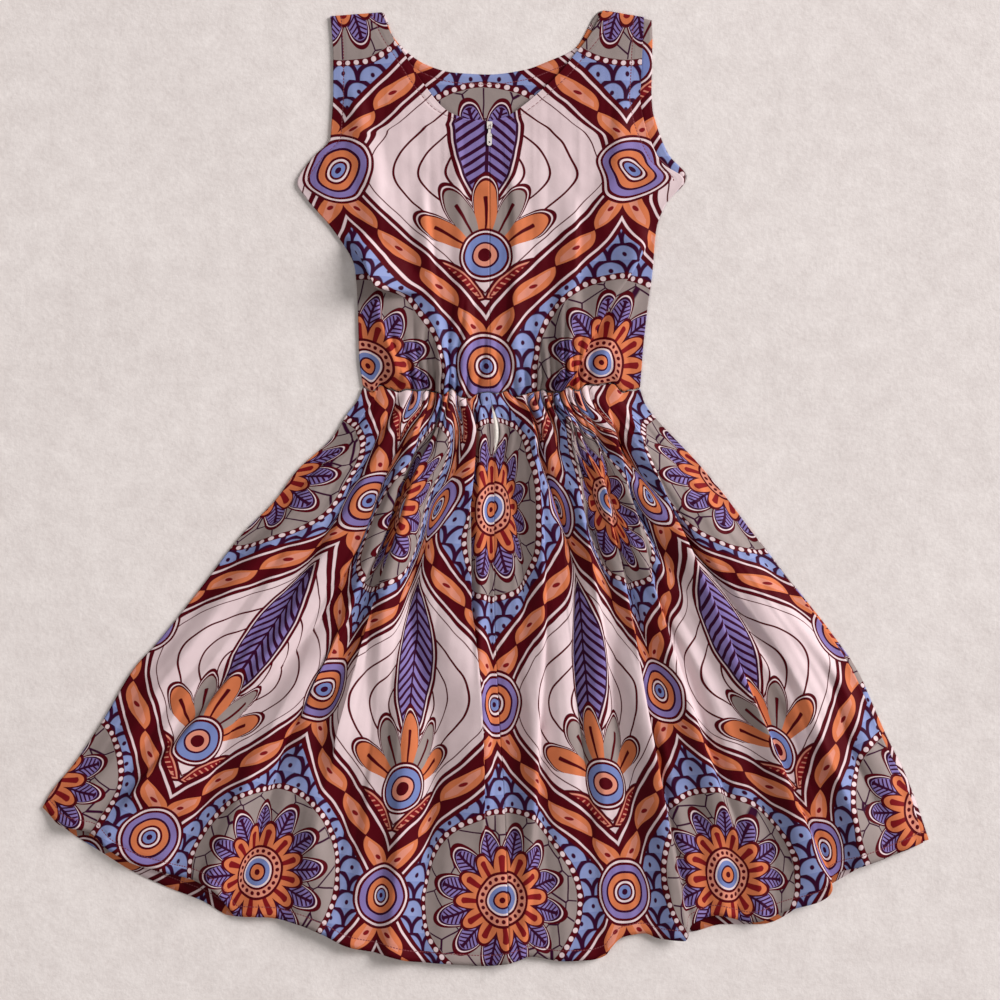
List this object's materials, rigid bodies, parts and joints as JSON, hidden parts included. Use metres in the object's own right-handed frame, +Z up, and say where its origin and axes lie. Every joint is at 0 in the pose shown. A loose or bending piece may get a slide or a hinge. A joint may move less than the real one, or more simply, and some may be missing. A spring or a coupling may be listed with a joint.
{
  "type": "ankara wax print dress",
  "caption": "Sleeveless dress with a fitted bodice, back zip and full gathered skirt, laid flat with its back up.",
  "frame": {"origin": "middle of the dress on the surface that it lies on", "axes": "+X to the right and +Y towards the neck as seen from above, +Z up from the surface"},
  "size_m": [0.93, 1.0019, 0.0184],
  "materials": {
    "print_cloth": "printed cotton in burgundy, orange, blue and off-white, with a slight sheen",
    "zip_tape": "woven off-white zip tape",
    "zip_metal": "pale grey enamelled metal"
  },
  "bodies": {
    "dress": {"bodice_front": "print_cloth", "bodice_back_left": "print_cloth", "bodice_back_right": "print_cloth", "skirt_front": "print_cloth", "skirt_back_left": "print_cloth", "skirt_back_right": "print_cloth", "zip_tape": "zip_tape", "zip_slider": "zip_metal"},
    "pull_tab": {"zip_tab": "zip_metal"}
  },
  "joints": [
    {"name": "tab_hinge", "type": "hinge", "parent": "dress", "child": "pull_tab", "pos_m": [0, 0.3775, 0.0076], "axis": [-1, 0, 0], "range_deg": [0, 165]}
  ]
}
